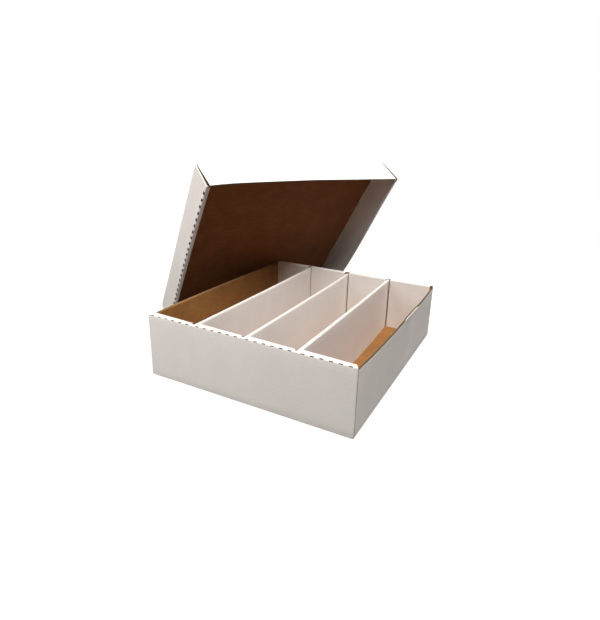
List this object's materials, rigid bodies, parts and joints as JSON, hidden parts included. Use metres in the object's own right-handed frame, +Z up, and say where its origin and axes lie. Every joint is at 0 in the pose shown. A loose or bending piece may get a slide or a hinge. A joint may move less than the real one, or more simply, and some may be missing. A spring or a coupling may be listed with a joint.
{
  "type": "card storage box",
  "caption": "Folded corrugated storage box for trading cards, with parallel rows, lift-out folded dividers and a lift-off lid that leans open against its corner.",
  "frame": {"origin": "centre of the tray's underside", "axes": "+Z up, -Y towards the front (the end with the rolled wall nearest the viewer), +X to the right seen from the front, rows and dividers along Y"},
  "size_m": [0.5164, 0.5703, 0.3306],
  "materials": {
    "white_board": "matte white clay-coated liner on corrugated board, kraft brown on its other side and its raw edges",
    "kraft_board": "matte kraft brown liner on corrugated board, white on its other side"
  },
  "bodies": {
    "tray": {"tray_floor": "kraft_board", "tray_left_wall": "white_board", "tray_right_wall": "white_board", "tray_front_wall": "white_board", "tray_back_wall": "white_board", "tray_front_top_strip_1": "white_board", "tray_front_top_strip_2": "white_board", "tray_front_top_strip_3": "white_board", "tray_front_top_strip_4": "white_board", "tray_front_slot_bridge_1": "white_board", "tray_front_slot_bridge_2": "white_board", "tray_front_slot_bridge_3": "white_board", "tray_back_top_strip_1": "white_board", "tray_back_top_strip_2": "white_board", "tray_back_top_strip_3": "white_board", "tray_back_top_strip_4": "white_board", "tray_back_slot_bridge_1": "white_board", "tray_back_slot_bridge_2": "white_board", "tray_back_slot_bridge_3": "white_board", "tray_front_inner_panel_1": "white_board", "tray_front_inner_panel_2": "white_board", "tray_front_inner_panel_3": "white_board", "tray_front_inner_panel_4": "white_board", "tray_back_inner_panel_1": "white_board", "tray_back_inner_panel_2": "white_board", "tray_back_inner_panel_3": "white_board", "tray_back_inner_panel_4": "white_board", "tray_front_left_corner_flap": "white_board", "tray_front_right_corner_flap": "white_board", "tray_back_left_corner_flap": "white_board", "tray_back_right_corner_flap": "white_board"},
    "divider_left": {"divider_left": "white_board"},
    "divider_middle": {"divider_middle": "white_board"},
    "divider_right": {"divider_right": "white_board"},
    "lid": {"lid_top_panel": "kraft_board", "lid_left_wall": "white_board", "lid_right_wall": "white_board", "lid_front_wall": "white_board", "lid_back_wall": "white_board", "lid_front_rim_strip": "white_board", "lid_back_rim_strip": "white_board", "lid_front_inner_panel": "white_board", "lid_back_inner_panel": "white_board", "lid_front_left_corner_flap": "white_board", "lid_front_right_corner_flap": "white_board", "lid_back_left_corner_flap": "white_board", "lid_back_right_corner_flap": "white_board"}
  },
  "joints": [
    {"name": "divider_left_lift", "type": "slide", "parent": "tray", "child": "divider_left", "axis": [0, 0, 1], "range_m": [0, 0.105]},
    {"name": "divider_middle_lift", "type": "slide", "parent": "tray", "child": "divider_middle", "axis": [0, 0, 1], "range_m": [0, 0.105]},
    {"name": "divider_right_lift", "type": "slide", "parent": "tray", "child": "divider_right", "axis": [0, 0, 1], "range_m": [0, 0.105]},
    {"name": "lid_lift", "type": "slide", "parent": "tray", "child": "lid", "axis": [0, 0, 1], "range_m": [0, 0.25]}
  ]
}
